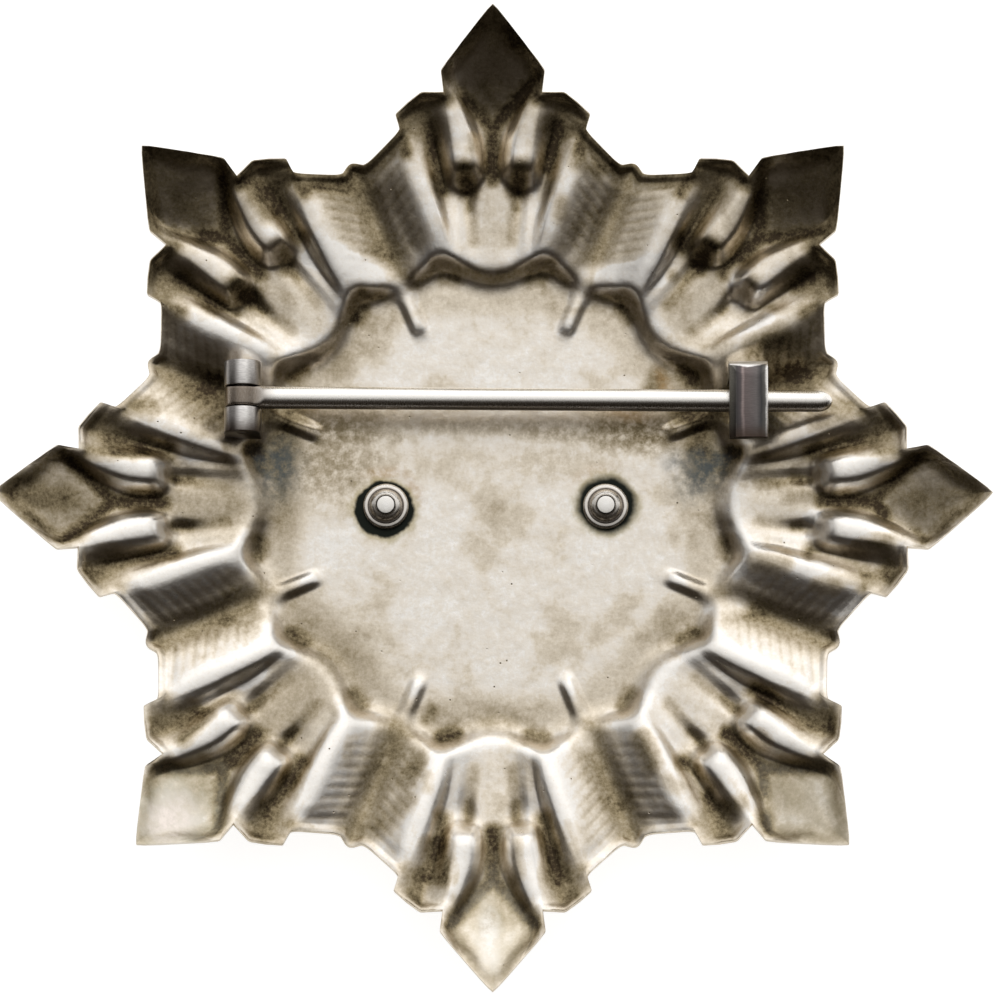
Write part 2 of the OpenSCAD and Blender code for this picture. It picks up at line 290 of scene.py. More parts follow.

# Places worn clean, and places painted lighter where the shape catches the light, in the same columns
WORN_AND_LIT = (
    (26.8, -4.9, 31.2, -5, 1.3, 0.6),
    (33, -1.4, 34.4, -3.4, 1, 0.5),
    (26.4, -1.4, 28, -1.3, 1.2, 0.7),
    (-8.9, 19.1, -7.1, 17.3, 1.4, 0.6),
    (7.6, 19.2, 7.1, 17.3, 1.4, 0.6),
    # Painted light where the shape faces the light.
    (-19.6, -14, -23.4, -16, 1.4, 0.9),
    (-15, 21, -9.4, 19.3, 1.7, 0.8),
    (9, 19, 13.4, 19.2, 1.6, 0.8),
    (-27, 22.2, -25, 22.3, 1.2, 0.3),
    (16, -12, 18.6, -12.2, 1.3, 0.5),
    (-17.2, -12.2, -19, -12.2, 1.3, 0.5),
    (-17.9, -8.4, -18.6, -8.4, 1.2, 0.4),
    (-25.2, -21.4, -24.4, -21.6, 1, 0.4),
    (-5.2, -32, -5.2, -32.6, 1, 0.4),
    (-5.2, -26.4, -5.2, -27.2, 1, 0.4),
    (21.4, -25, 22.2, -25.2, 1, 0.4),
    (20.2, 19, 20.2, 17, 1.3, 0.7),
    (21.6, 15.2, 22.4, 15.5, 1.2, 0.8),
    (22, 17.2, 24.2, 17, 1.3, 0.5),
    (22, 26.4, 24, 27.8, 1.5, 0.35),
    (-3.2, 34.4, -3.2, 36, 1.2, 0.35),
    (-18, 20.4, -18, 22.6, 1.3, 0.4),
    (28.2, -8.6, 29.6, -8.6, 1.2, 0.5),
    (7.2, -19, 7.6, -19.8, 1.2, 0.4),
    (-22, 15.4, -21.2, 15, 1.2, 0.5),
    (16, -22.8, 16.7, -23.6, 1.2, 0.4),
    (18.2, -8.5, 20.2, -8.4, 1.3, 0.5),
    (3.8, 26.2, 3.8, 27, 1.1, 0.6),
    (-25.6, 4.2, -23, 4.2, 1.2, 0.6),
)

# Where the far side, with its painted shade, and its darker edge of painted shade begin along Y, and where
# they are full
FAR_SIDE = (3, 22)
FAR_RIM = (8, 20)

# A band of painted shade inside the far edge: its amount, and the distances inside at which it is full and at
# its end
FAR_EDGE_SHADE = 0.7
FAR_EDGE_SHADE_BAND = (0.7, 2)

# The rim elsewhere is worn clean and painted bright where light catches it, in the same columns, and ridges
# are worn clean by their height above what is round them
RIM_WEAR_AND_SHEEN = 0.65
RIM_BAND = (0.1, 0.7)
RIDGE_WEAR = 0.5
RIDGE_WEAR_LOST_FAR = 0.8
RIDGE_HEIGHT = (0.1, 0.45)

# Fine dark lines between the reeds, and the patina of the front
REED_LINES = 0.14
FRONT_PATINA = 0.36

# The photograph's frame in pixels, the star's middle in it, and the size of a pixel
PHOTO_H = 1000
PHOTO_MIDDLE = (498.5, 500.0)
STAR_MIDDLE = (492.7, 491.7)
PIXEL = 0.0814
TIP_Z = PLATE_Z + MIDDLE[-1][2]
CAMERA_DISTANCE = 580.0
CAMERA_TILT = math.radians(9)
SENSOR = 36.0


def mesh_from(name, points, faces, sharp_degrees=40):
    """An object from points in millimetres."""
    mesh = bpy.data.meshes.new(name)
    mesh.from_pydata((np.asarray(points, float) * MM).tolist(), [], faces)
    mesh.validate()
    mesh.update()
    mesh.shade_smooth()
    mesh.set_sharp_from_angle(angle=math.radians(sharp_degrees))
    thing = bpy.data.objects.new(name, mesh)
    bpy.context.scene.collection.objects.link(thing)
    return thing


def closed_rows(rows, first=None, last=None):
    """Points and faces of a stack of closed rows, with a fan to a middle point at each end that has one."""
    count, width = len(rows), len(rows[0])
    points = np.concatenate(rows)
    around = np.arange(width)
    beside = (around + 1) % width
    starts = np.arange(count - 1)[:, None] * width
    a = (starts + around).ravel()
    b = (starts + beside).ravel()
    faces = np.stack([a, b, b + width, a + width], axis=1).tolist()
    if first is not None:
        top = len(points)
        points = np.vstack([points, first])
        faces += np.stack([np.full(width, top), beside, around], axis=1).tolist()
    if last is not None:
        end = len(points)
        points = np.vstack([points, last])
        base = (count - 1) * width
        faces += np.stack([np.full(width, end), base + around, base + beside], axis=1).tolist()
    return points, faces


def along(line, s):
    """Points on a crease line at rows s: straight up the wall, then smooth to the edge."""
    i = np.minimum(s.astype(int), len(line) - 2)
    t = (s - i)[:, None]
    a = line[np.clip(i - 1, 1, len(line) - 1)]
    b = line[i]
    c = line[i + 1]
    d = line[np.clip(i + 2, 1, len(line) - 1)]
    smooth = b + 0.5 * t * ((c - a) + t * ((2 * a - 5 * b + 4 * c - d) + t * (3 * b - a - 3 * c + d)))
    return np.where((i == 0)[:, None], b + (c - b) * t, smooth)


def steps_between(steps, crowded=()):
    """0 to len(steps) in so many steps a whole interval, which lie closer to its ends in the crowded ones."""
    parts = []
    for i, n in enumerate(steps):
        t = np.arange(n) / n
        parts.append(i + ((1 - np.cos(math.pi * t)) / 2 if i in crowded else t))
    return np.concatenate(parts + [[len(steps)]])


def half_arm():
    """Rows by columns of points on half an arm, and the height of the reeds at each."""
    s = steps_between(ROW_STEPS)
    c = steps_between(COLUMN_STEPS, CROWDED)
    lines = np.array([along(line, s) for line in CREASES])
    i = np.minimum(c.astype(int), len(CREASES) - 2)
    t = (c - i)[:, None, None]
    points = (lines[i] * (1 - t) + lines[i + 1] * t).transpose(1, 0, 2)
    across = between(c, *REEDS_ACROSS)
    down = between(s, *REEDS_ALONG)
    bearing = points[..., 0] * REED_NORMAL[0] + points[..., 1] * REED_NORMAL[1]
    reeds = np.cos(bearing * 2 * math.pi / REED_PITCH) * REED_DEPTH / 2
    return points, reeds * across[None, :] * down[:, None]


def smooth_step(x, low, high):
    """0 up to low, 1 from high on, and an S-shaped rise from one to the other."""
    t = np.clip((x - low) / (high - low), 0, 1)
    return t * t * (3 - 2 * t)


def within(x, full, end):
    """1 up to full, falling to 0 at the end."""
    return smooth_step(-x, -end, -full)


def between(x, start, full, fading, end):
    """1 from full to fading, falling to 0 at the start and at the end."""
    return smooth_step(x, start, full) * within(x, fading, end)


def whole_ring(points, extra):
    """Eight arms side by side, each the half arm and its mirror image."""
    mirrored = points[:, :0:-1] * np.array([-1, 1, 1])
    arm = np.concatenate([mirrored, points[:, :-1]], axis=1)
    arm_extra = np.concatenate([extra[:, :0:-1], extra[:, :-1]], axis=1)
    ring = [turned(arm, n * ARM_TURN) for n in range(ARMS)]
    return np.concatenate(ring, axis=1), np.tile(arm_extra, (1, ARMS))


def turned(points, angle):
    """Points turned clockwise about Z, as seen from above."""
    x = points[..., 0] * math.cos(angle) + points[..., 1] * math.sin(angle)
    y = points[..., 1] * math.cos(angle) - points[..., 0] * math.sin(angle)
    return np.stack([x, y, points[..., 2]], axis=-1)


def plate_rows(foot):
    """Rows on the plate from its flat middle to the foot of the wall, with short ribs between the arms."""
    r_foot = np.hypot(foot[:, 0], foot[:, 1])
    bearing = np.arctan2(foot[:, 0], foot[:, 1])
    off_valley = np.mod(bearing, ARM_TURN) - ARM_TURN / 2
    rows = []
    for share in PLATE_SHARES:
        r = FLAT_R + (r_foot - FLAT_R) * share
        aside = np.abs(r * np.sin(off_valley)) / RIB_HALF_W
        begun = smooth_step(r, RIB_END_R - RIB_END_SOFT, RIB_END_R + RIB_END_SOFT)
        rib = np.sqrt(np.clip(1 - aside ** 2, 0, 1)) * begun
        rows.append(np.stack([r * np.sin(bearing), r * np.cos(bearing), RIB_H * rib], axis=1))
    return np.array(rows)


def nearness(points, others, radius):
    """1 where two points meet in plan, falling off softly with the distance between them."""
    apart = ((others[..., :2] - points[..., :2]) ** 2).sum(-1)
    return np.exp(-apart / (2 * radius ** 2))


def soften(points, radius, reach, stride):
    """Heights averaged over a soft round patch, from the rows and columns within reach."""
    rows = np.arange(len(points))
    total, weights = 0, 0
    for down in range(-reach, reach + 1, stride):
        moved = points[np.clip(rows + down, 0, len(points) - 1)]
        for aside in range(-reach, reach + 1, stride):
            other = np.roll(moved, aside, axis=1)
            weight = nearness(points, other, radius)
            total += weight * other[..., 2]
            weights += weight
    return total / weights


def round_corners(points):
    """Rounds the outline's corners in plan, and the outermost rows with it, less and less inward."""
    rows = points[-CORNER_ROWS:, :, :2]
    total, weights = 0, 0
    for aside in range(-CORNER_REACH, CORNER_REACH + 1):
        other = np.roll(rows, aside, axis=1)
        weight = nearness(rows, other, CORNER_RADIUS)[..., None]
        total += weight * other
        weights += weight
    shares = np.arange(1, CORNER_ROWS + 1)[:, None, None] / CORNER_ROWS
    rows += (total / weights - rows) * shares


def edge_distance(points):
    """Distance of each point from the outline in plan."""
    edge = points[-1, :, :2]
    far = np.empty(points.shape[:2])
    for i, row in enumerate(points[..., :2]):
        far[i] = np.sqrt(((row[:, None] - edge[None]) ** 2).sum(-1).min(1))
    return far


def arm_frame(points):
    """Distance aside from the middle of the nearest arm, and distance along it."""
    bearing = np.arctan2(points[..., 0], points[..., 1])
    off = np.mod(bearing + ARM_TURN / 2, ARM_TURN) - ARM_TURN / 2
    r = np.hypot(points[..., 0], points[..., 1])
    return np.abs(r * np.sin(off)), r * np.cos(off)


def stroked(x, y, strokes):
    """The strongest of some soft strokes at each point."""
    dark = np.zeros(x.shape)
    for x0, y0, x1, y1, half_width, amount in strokes:
        dx, dy = x1 - x0, y1 - y0
        t = np.clip(((x - x0) * dx + (y - y0) * dy) / (dx * dx + dy * dy), 0, 1)
        off = np.hypot(x - x0 - t * dx, y - y0 - t * dy)
        dark = np.maximum(dark, amount * (1 - smooth_step(off / half_width, 0.1, 1)))
    return dark


def tarnish_and_shade(points, above, edge, reeds):
    """How dark each point is, from patina, stains, painted shade and painted light: 0 is plain silver, 1 is
    black, and below 0 it is worn clean or painted bright.
    """
    x, y = points[..., 0], points[..., 1]
    on_arm = arm_frame(points)
    far_side = smooth_step(y, *FAR_SIDE)
    far_rim = smooth_step(y, *FAR_RIM)
    # Tarnished patina in the hollows, and on the far arms painted shade on the faces turned from the light.
    dark = np.maximum(stroked(*on_arm, ARM_TARNISH_AND_SHADE), stroked(*on_arm, FAR_SHADE_AND_TARNISH) * far_side)
    # A band of painted shade inside the far edge.
    dark = np.maximum(dark, FAR_EDGE_SHADE * far_rim * within(edge, *FAR_EDGE_SHADE_BAND))
    # Stains, and painted shadows and shade under the fittings and inside far edges.
    dark += stroked(x, y, STAINS_AND_SHADOWS) * (1 - dark)
    ridges = smooth_step(above, *RIDGE_HEIGHT) * (1 - RIDGE_WEAR_LOST_FAR * far_side)
    # Worn places and painted light, and ridge tops worn clean.
    dark -= stroked(x, y, WORN_AND_LIT) + RIDGE_WEAR * ridges
    dark += REED_LINES * np.clip(-2 * reeds / REED_DEPTH, 0, 1)
    # The rim off the far side is worn clean and painted bright where light catches it.
    return dark * (1 - RIM_WEAR_AND_SHEEN * (1 - far_rim) * within(edge, *RIM_BAND))


def back_of_star():
    """Rows of points on the hollow back from the plate out to the edge, and how dark each point is."""
    arms, reeds = whole_ring(*half_arm())
    plate = plate_rows(arms[0])
    back = np.concatenate([plate, arms])
    reeds = np.concatenate([np.zeros(plate.shape[:2]), reeds])
    round_corners(back)
    ribs = soften(back, *RIB_SOFTENING)[:len(plate) - 1]
    back[..., 2] = soften(back, *CREASE_SOFTENING)
    back[:len(plate) - 1, :, 2] = ribs
    above = back[..., 2] - soften(back, *WIDE_SOFTENING)
    edge = edge_distance(back)
    dark = tarnish_and_shade(back, above, edge, reeds)
    back[..., 2] += reeds - GUTTER_DEPTH * between(edge, *GUTTER_BAND)
    return back + np.array([0, 0, PLATE_Z]), dark


def make_star():
    """The stamped sheet as one closed skin: the back, the bevelled edge, and the front below the back."""
    back, dark = back_of_star()
    inward = back[-2, :, :2] - back[-1, :, :2]
    inward *= EDGE_BEVEL / np.linalg.norm(inward, axis=1, keepdims=True)
    rim = back[-1].copy()
    back[-1, :, :2] += inward
    front = back[np.linspace(len(back) - 1, 0, FRONT_ROWS).astype(int)] - np.array([0, 0, SHEET_T])
    middle = [ring_row(len(rim), r, PLATE_Z) for r in PLATE_RADII[::-1]]
    front_middle = [ring_row(len(rim), r, PLATE_Z - SHEET_T) for r in PLATE_RADII]
    side = [rim - (0, 0, EDGE_BEVEL), rim - (0, 0, SHEET_T - EDGE_BEVEL)]
    rows = middle + list(back) + side + list(front) + front_middle
    points, faces = closed_rows(rows, first=(0, 0, PLATE_Z), last=(0, 0, PLATE_Z - SHEET_T))
    star = mesh_from("star_sheet", points, faces, sharp_degrees=60)

    lead = len(middle) * len(rim)
    values = np.full(len(points), FRONT_PATINA)
    values[:lead] = 0
    values[lead:lead + dark.size] = dark.ravel()
    # The darkness drawn for each point, patina together with painted shade and light, goes to the material.
    attribute = star.data.attributes.new("tarnish_and_shade", "FLOAT", "POINT")
    attribute.data.foreach_set("value", values.astype(np.float32))
    return star


def ring_row(width, radius, z):
    """A level row of points round the middle, which begins where the rows of the arms begin."""
    angle = np.arange(width) * 2 * math.pi / width - ARM_TURN / 2
    return np.stack([radius * np.sin(angle), radius * np.cos(angle), np.full(width, float(z))], axis=1)


def prism(name, outline, axis, low, high):
    """A straight solid over an outline, whose columns are x and z along Y, and y and z along X."""
    def place(p, depth):
        return (p[0], depth, p[1]) if axis == "Y" else (depth, p[0], p[1])

    n = len(outline)
    points = [place(p, low) for p in outline] + [place(p, high) for p in outline]
    faces = [list(range(n)), list(range(2 * n - 1, n - 1, -1))]
    faces += [[i, i + n, (i + 1) % n + n, (i + 1) % n] for i in range(n)]
    thing = mesh_from(name, points, faces)
    facing_out(thing.data)
    return thing


def facing_out(mesh):
    """Turns every face of a closed mesh outward."""
    work = bmesh.new()
    work.from_mesh(mesh)
    bmesh.ops.recalc_face_normals(work, faces=work.faces)
    work.to_mesh(mesh)
    work.free()


def cut(thing, tool, operation="DIFFERENCE"):
    """Cuts one solid by another and removes the tool."""
    modifier = thing.modifiers.new("cut", "BOOLEAN")
    modifier.object = tool
    modifier.operation = operation
    modifier.solver = "EXACT"
    apply_modifiers(thing)
    bpy.data.objects.remove(tool)


def apply_modifiers(thing):
    """Makes what the modifiers give the object's own mesh."""
    graph = bpy.context.evaluated_depsgraph_get()
    mesh = bpy.data.meshes.new_from_object(thing.evaluated_get(graph))
    thing.modifiers.clear()
    thing.data = mesh


def round_edges(thing, width, degrees=35):
    """Bevels the edges that turn by more than so many degrees."""
    modifier = thing.modifiers.new("round", "BEVEL")
    modifier.width = width * MM
    modifier.segments = 3
    modifier.limit_method = "ANGLE"
    modifier.angle_limit = math.radians(degrees)
    apply_modifiers(thing)
    thing.data.shade_smooth()
    thing.data.set_sharp_from_angle(angle=math.radians(50))


def arc(centre, radius, start, end, steps):
    """Points on an arc between two angles in degrees."""
    angles = np.radians(np.linspace(start, end, steps + 1))
    return [(centre[0] + radius * math.cos(a), centre[1] + radius * math.sin(a)) for a in angles]


def under_valley(side):
    """Everything under the middle of the sheet along the valley beneath a fitting."""
    reach, deep, from_middle = 7, 9, abs(HINGE.x)
    rise = reach * VALLEY_SLOPE
    angle = ARM_TURN / 2 if side > 0 else math.pi - ARM_TURN / 2
    outline = [(-reach, rise), (0, 0), (reach, rise), (reach, -deep), (-reach, -deep)]
    tool = prism("tool", outline, "X", from_middle - reach, from_middle + reach)
    lift = Matrix.Translation((0, 0, (PLATE_Z + FOOT_Z) * MM))
    tool.data.transform(lift @ Matrix.Rotation(angle, 4, "Z"))
    tool.data.update()
    return tool


def make_hinge_block():
    """A block with a round top and a slot for the pin's eye, standing in the valley of the sheet."""
    half = BLOCK_W / 2
    low = PLATE_Z - SHEET_T
    outline = [(HINGE.x - half, low), (HINGE.x + half, low)]
    outline += arc((HINGE.x, HINGE.z), half, 0, 180, 40)
    y0, y1 = HINGE.y - BLOCK_L / 2, HINGE.y + BLOCK_L / 2
    block = prism("hinge_block", outline, "Y", y0, y1)
    slot_low = HINGE.z - EYE_R - 3 * GAP
    slot_high = slot_low + 9
    left, right = HINGE.x - BLOCK_W, HINGE.x + BLOCK_W
    slot = [(left, slot_low), (right, slot_low), (right, slot_high), (left, slot_high)]
    cut(block, prism("tool", slot, "Y", HINGE.y - SLOT_W / 2, HINGE.y + SLOT_W / 2))
    cut(block, under_valley(-1))
    round_edges(block, 0.07)
    return block


def make_catch_hook():
    """A leg bent over into a bar that the pin shuts under, with the bar's upper edges worn round."""
    end = HOOK_L / 2
    low = PLATE_Z - SHEET_T
    inner = HOOK_BEND - HOOK_LEG / 2
    under = HOOK_TOP - HOOK_BAR
    outside = arc((end - HOOK_BEND, HOOK_TOP - HOOK_BEND), HOOK_BEND, 0, 90, 16)
    inside = arc((end - HOOK_LEG - inner, under - inner), inner, 90, 0, 12)
    side = [(end, low)] + outside + [(-end, HOOK_TOP), (-end, under)] + inside + [(end - HOOK_LEG, low)]
    side = [(HOOK_Y + y, z) for y, z in side]
    hook = prism("catch_hook", side, "X", HOOK_X - HOOK_W / 2, HOOK_X + HOOK_W / 2)
    half = HOOK_W / 2
    face = [(-half, low - 1), (half, low - 1)]
    face += [(half - inward, HOOK_TOP - down) for inward, down in HOOK_RIGHT]
    face += [(-half + inward, HOOK_TOP - down) for inward, down in HOOK_LEFT]
    face = [(HOOK_X + x, z) for x, z in face]
    cut(hook, prism("tool", face, "Y", HOOK_Y - HOOK_L, HOOK_Y + HOOK_L), "INTERSECT")
    cut(hook, under_valley(1))
    round_edges(hook, 0.05, degrees=12)
    return hook


def pin_stations():
    """Distances from the axle at which the pin has a cross-section: eye, shoulder, shaft, point and nose."""
    eye = EYE_R * np.cos(np.linspace(math.pi, math.pi * 0.24, 26))
    shoulder = np.linspace(eye[-1], NARROWS[1], 12)[1:]
    shaft = np.linspace(NARROWS[1], TAPER_FROM, 60)[1:]
    point = np.linspace(TAPER_FROM, NOSE_FROM, 14)[1:]
    nose = NOSE_FROM + NOSE * np.sin(np.linspace(0, math.pi / 2, 14))[1:]
    return np.concatenate([eye, shoulder, shaft, point, nose])


def pin_section(x):
    """Half width, half height and squareness of the pin's cross-section at a distance from its axle."""
    if x > TAPER_FROM:
        taper = PIN_R - (PIN_R - POINT_R) * min(1, (x - TAPER_FROM) / (NOSE_FROM - TAPER_FROM))
        radius = taper * math.sqrt(max(1 - max(0, (x - NOSE_FROM) / NOSE) ** 2, 1e-5))
        return radius, radius, SHAFT_SQUARENESS
    half_w = EYE_T / 2 + (PIN_R - EYE_T / 2) * smooth_step(x, *WIDENS)
    round_h = math.sqrt(max(EYE_R ** 2 - x ** 2, 1e-5)) if x < EYE_END else 0
    neck_h = NECK_H - NECK_LOSS * smooth_step(x, *NARROWS)
    half_h = max(round_h, neck_h) if x > 0 else round_h
    return half_w, half_h, EYE_SQUARENESS - (EYE_SQUARENESS - SHAFT_SQUARENESS) * smooth_step(x, *ROUNDS)


def make_pin():
    """The pin from its flat eye to its point, leaning a little aside as it does in the photograph."""
    sides = 56
    around = np.arange(sides) * 2 * math.pi / sides
    c, s = np.cos(around), np.sin(around)
    rows = []
    for x in pin_stations():
        half_w, half_h, squareness = pin_section(x)
        y = half_w * np.sign(c) * np.abs(c) ** (2 / squareness)
        z = half_h * np.sign(s) * np.abs(s) ** (2 / squareness)
        rows.append(np.stack([np.full(sides, x), y, z], axis=1))
    points, faces = closed_rows(rows, first=rows[0].mean(0), last=rows[-1].mean(0))
    points = turned(points, PIN_LEAN) + np.array(HINGE)
    pin = mesh_from("brooch_pin_wire", points, faces, sharp_degrees=50)
    facing_out(pin.data)
    return pin


def lathe(name, profile, centre, segments=96, sharp_degrees=40, across=False):
    """A solid of revolution about Z, or about -Y if across. Columns of the profile: radius, height."""
    angle = np.arange(segments) * 2 * math.pi / segments
    rows = [
        np.stack([r * np.cos(angle), r * np.sin(angle), np.full(segments, z)], axis=1)
        for r, z in profile if r > 0
    ]
    first = (0, 0, profile[0][1]) if profile[0][0] == 0 else None
    last = (0, 0, profile[-1][1]) if profile[-1][0] == 0 else None
    points, faces = closed_rows(rows, first, last)
    if across:
        points = points[:, (0, 2, 1)] * (1, -1, 1)
    thing = mesh_from(name, points + np.array(centre), faces, sharp_degrees)
    facing_out(thing.data)
    return thing


def make_collar(name, x):
    """A stepped collar: a round flange with a domed boss on it, bored for the post."""
    bore = POST_R + GAP
    profile = [(bore, 0), (FLANGE_R - 0.07, 0), (FLANGE_R, 0.1), (FLANGE_R, FLANGE_H - 0.02)]
    profile += arc((FLANGE_R - 0.25, FLANGE_H), 0.25, 0, 80, 8)
    profile += [(1.5, 0.775), (1.43, 0.72), (1.39, 0.72), (1.37, STEP_Z)]
    dome = np.radians(np.arange(8, 78, 8))
    profile += [(DOME_FROM_R + DOME_R * math.cos(a), STEP_Z + DOME_H * math.sin(a)) for a in dome]
    profile += [(bore + 0.03, COLLAR_H), (bore, COLLAR_H - 0.03), (bore, 0)]
    return lathe(name, profile, (x, POST_Y, PLATE_Z + GAP))


def make_medallion():
    """The plain front: a flat raised rim round a low domed field, and the two posts that hold it on."""
    field_r = MEDALLION_R - RIM_W
    profile = [(0, MEDALLION_TOP), (MEDALLION_R - 0.1, MEDALLION_TOP), (MEDALLION_R, MEDALLION_TOP - 0.1)]
    profile += [(MEDALLION_R, 0.18), (MEDALLION_R - 0.06, 0.05), (MEDALLION_R - 0.18, 0)]
    profile += [(field_r + 0.16, 0), (field_r + 0.05, 0.05), (field_r, 0.16)]
    profile += [(field_r - 0.03, RIM_DROP - 0.08)]
    shares = [i / 24 for i in range(24, -1, -1)]
    profile += [(share * (field_r - 0.12), RIM_DROP - FIELD_DOME * (1 - share * share)) for share in shares]
    medallion = lathe("medallion", profile, (0, 0, 0), segments=160, sharp_degrees=70)
    top = PLATE_Z + GAP + 1.55
    posts = []
    for side, x in zip(("left", "right"), POST_X):
        shape = [(0, MEDALLION_TOP - 0.4), (POST_R, MEDALLION_TOP - 0.4), (POST_R, top - 0.12)]
        shape += [(POST_R - 0.04, top - 0.04), (POST_R * 0.7, top - 0.005), (0, top)]
        posts.append(lathe("post_" + side, shape, (x, POST_Y, 0), segments=64))
    return medallion, posts


def make_axle():
    """A small rivet through the hinge block, its two ends slightly domed."""
    half = BLOCK_L / 2
    profile = [(0, -half - 0.1), (AXLE_R * 0.6, -half - 0.08), (AXLE_R, -half - 0.02), (AXLE_R, half + 0.02)]
    profile += [(AXLE_R * 0.6, half + 0.08), (0, half + 0.1)]
    return lathe("hinge_rivet", profile, HINGE, segments=40, across=True)


class Nodes:
    """Builds up a node tree in code. A value is a number, a colour or the output of another node."""

    def __init__(self, tree):
        self.tree = tree

    def add(self, kind, **settings):
        node = self.tree.nodes.new(kind)
        for key, value in settings.items():
            setattr(node, key, value)
        return node

    def feed(self, socket, value):
        if isinstance(value, bpy.types.NodeSocket):
            self.tree.links.new(value, socket)
        else:
            socket.default_value = value

    def calc(self, operation, a, b=0.0, c=0.0, clamp=False):
        node = self.add("ShaderNodeMath", operation=operation, use_clamp=clamp)
        for socket, value in zip(node.inputs, (a, b, c)):
            self.feed(socket, value)
        return node.outputs[0]

    def times(self, a, b, plus=0.0):
        """a times b, plus a third value."""
        return self.calc("MULTIPLY_ADD", a, b, plus)

    def shades(self, value, stops, interpolation="LINEAR"):
        """A colour looked up by value from pairs of position and colour."""
        node = self.add("ShaderNodeValToRGB")
        node.color_ramp.interpolation = interpolation
        elements = node.color_ramp.elements
        while len(elements) < len(stops):
            elements.new(0.5)
        for element, (position, colour) in zip(elements, stops):
            element.position = position
            element.color = (*colour, 1)
        self.feed(node.inputs[0], value)
        return node.outputs[0]


class Shader(Nodes):
    """A metal material, with positions in millimetres."""

    def __init__(self, name):
        self.material = bpy.data.materials.new(name)
        self.material.use_nodes = True
        super().__init__(self.material.node_tree)
        self.tree.nodes.clear()
        coordinates = self.add("ShaderNodeTexCoord").outputs["Object"]
        self.mm = self.vector("SCALE", coordinates, scale=1 / MM)
        self.flat = self.vector("MULTIPLY", self.mm, (1, 1, 0))

    def vector(self, operation, a, b=None, scale=None):
        node = self.add("ShaderNodeVectorMath", operation=operation)
        self.feed(node.inputs[0], a)
        if b is not None:
            self.feed(node.inputs[1], b)
        if scale is not None:
            self.feed(node.inputs["Scale"], scale)
        return node.outputs["Value" if operation == "LENGTH" else "Vector"]

    def ramp(self, value, low, high, to_low=0.0, to_high=1.0):
        """to_low at low, to_high at high, and an S-shaped change from one to the other."""
        node = self.add("ShaderNodeMapRange", interpolation_type="SMOOTHSTEP")
        for socket, item in zip(node.inputs, (value, low, high, to_low, to_high)):
            self.feed(socket, item)
        return node.outputs[0]

    def noise(self, scale, detail=3.0, roughness=0.55, at=None, seed=0.0):
        node = self.add("ShaderNodeTexNoise", noise_dimensions="4D")
        self.feed(node.inputs["Vector"], self.mm if at is None else at)
        self.feed(node.inputs["W"], seed)
        self.feed(node.inputs["Scale"], scale)
        self.feed(node.inputs["Detail"], detail)
        self.feed(node.inputs["Roughness"], roughness)
        return node.outputs["Fac"]

    def cells(self, scale):
        """Distance from the nearest of many scattered points."""
        node = self.add("ShaderNodeTexVoronoi", feature="F1")
        self.feed(node.inputs["Vector"], self.mm)
        self.feed(node.inputs["Scale"], scale)
        return node.outputs["Distance"]

    def stretched(self, scale):
        """Coordinates divided by a scale along each axis, for streaks."""
        node = self.add("ShaderNodeMapping", vector_type="TEXTURE")
        self.feed(node.inputs["Vector"], self.mm)
        node.inputs["Scale"].default_value = scale
        return node.outputs[0]

    def plan(self, middle):
        """Distances along X and Y from a point on the plan."""
        place = self.add("ShaderNodeSeparateXYZ")
        self.feed(place.inputs[0], self.mm)
        return tuple(self.calc("SUBTRACT", place.outputs[axis], value) for axis, value in zip("XY", middle))

    def spot(self, centre, radii, turn, soft, rough, ragged):
        """1 inside an ellipse on the plan, 0 outside, with a soft edge made ragged by a noise round 0."""
        node = self.add("ShaderNodeMapping", vector_type="TEXTURE")
        self.feed(node.inputs["Vector"], self.flat)
        node.inputs["Location"].default_value = (*centre, 0)
        node.inputs["Rotation"].default_value = (0, 0, math.radians(turn))
        node.inputs["Scale"].default_value = (*radii, 1)
        far = self.times(rough, ragged, self.vector("LENGTH", node.outputs[0]))
        return self.ramp(far, 1 + soft, 1 - soft)

    def blend(self, share, a, b):
        """Colour a, with that share of it replaced by colour b."""
        node = self.add("ShaderNodeMix", data_type="RGBA")
        self.feed(node.inputs["Factor"], share)
        colours = [s for s in node.inputs if s.type == "RGBA"]
        self.feed(colours[0], a)
        self.feed(colours[1], b)
        return [s for s in node.outputs if s.type == "RGBA"][0]

    def bump(self, height, distance, normal=None):
        """A normal roughened by heights from 0 to 1 that stand for so many millimetres."""
        node = self.add("ShaderNodeBump")
        node.inputs["Distance"].default_value = distance * MM
        self.feed(node.inputs["Height"], height)
        if normal is not None:
            self.feed(node.inputs["Normal"], normal)
        return node.outputs["Normal"]

    def finish(self, colour, roughness, normal):
        surface = self.add("ShaderNodeBsdfPrincipled")
        self.feed(surface.inputs["Base Color"], colour)
        self.feed(surface.inputs["Metallic"], 1.0)
        self.feed(surface.inputs["Roughness"], roughness)
        self.feed(surface.inputs["Normal"], normal)
        output = self.add("ShaderNodeOutputMaterial")
        self.tree.links.new(surface.outputs[0], output.inputs["Surface"])
        return self.material


# The light is one wide soft window, its middle toward +Y and a little toward +X, and a paler band round the
# horizon, brighter toward +X. SKY is the share of the full radiance by the cosine of the angle from the
# window's middle. The band is such a cosine too, and fades upward and away from +Y by a factor and an addend.
SKY_LEAN = math.radians(45)
SKY_ASIDE = 0.1
SKY_RADIANCE = 1.7
HORIZON_MIDDLE = 0.76
HORIZON_SLANT = 0.17
HORIZON_BY_HEIGHT = (-2.9, 2.3)
HORIZON_BY_FRONT = (2.2, 0.4)
HORIZON_SOFT = 0.3
SKY = (
    (0, (0.014, 0.011, 0.008)), (0.2, (0.02, 0.016, 0.013)), (0.35, (0.1, 0.095, 0.09)),
    (0.5, (0.29, 0.288, 0.285)), (0.66, (0.45, 0.45, 0.45)), (0.8, (0.55, 0.55, 0.55)),
    (0.92, (0.69, 0.69, 0.695)), (1, (0.88, 0.88, 0.885)),
)
